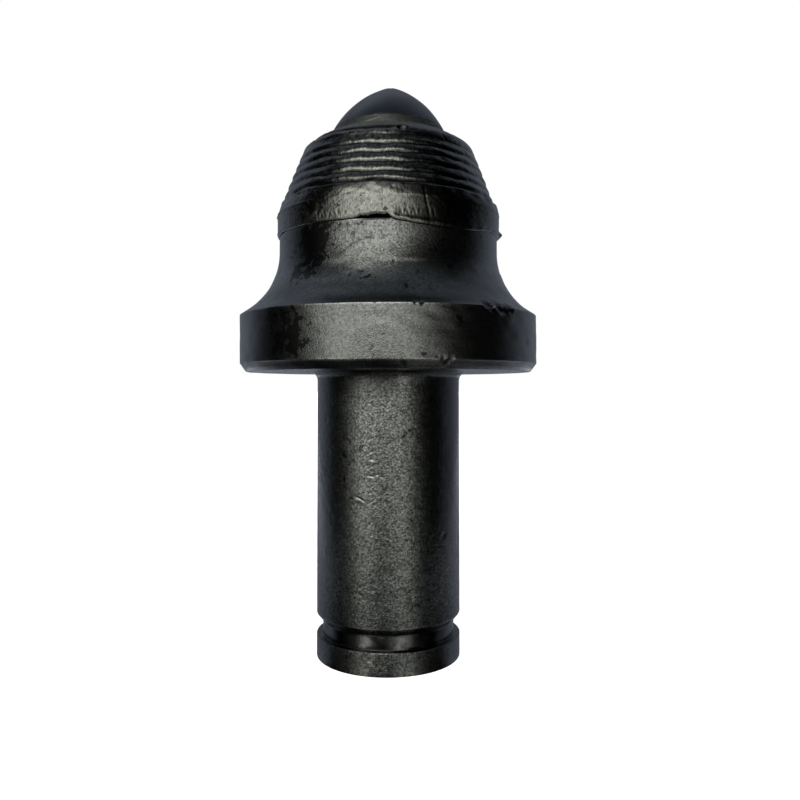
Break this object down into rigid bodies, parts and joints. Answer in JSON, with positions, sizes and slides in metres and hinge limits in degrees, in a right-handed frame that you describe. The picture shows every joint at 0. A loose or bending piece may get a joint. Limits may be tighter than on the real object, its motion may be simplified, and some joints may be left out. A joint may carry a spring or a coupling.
{
  "type": "round shank cutting pick",
  "caption": "Round-shank cutting pick with a carbide button, a ridged welded wear overlay, a wide collar and a retainer groove near the shank end.",
  "frame": {"origin": "centre of the shank's flat end face, on which the pick stands", "axes": "+Z along the pick's axis from the shank end to the carbide button; -Y is the side that the picture shows"},
  "size_m": [0.0624, 0.0622, 0.1201],
  "materials": {
    "oil_black_steel": "forged and turned alloy steel, blackened and oiled, satin sheen with fine pebbled grain",
    "weld_overlay": "welded wear overlay, dark satin metal with rounded bead ridges",
    "braze_filler": "brazing filler, blackened with the body",
    "carbide": "sintered tungsten carbide, smooth dark blue-grey"
  },
  "bodies": {
    "root": {"steel_body": "oil_black_steel", "hardfacing": "weld_overlay", "braze_ring": "braze_filler", "carbide_button": "carbide"}
  },
  "joints": []
}
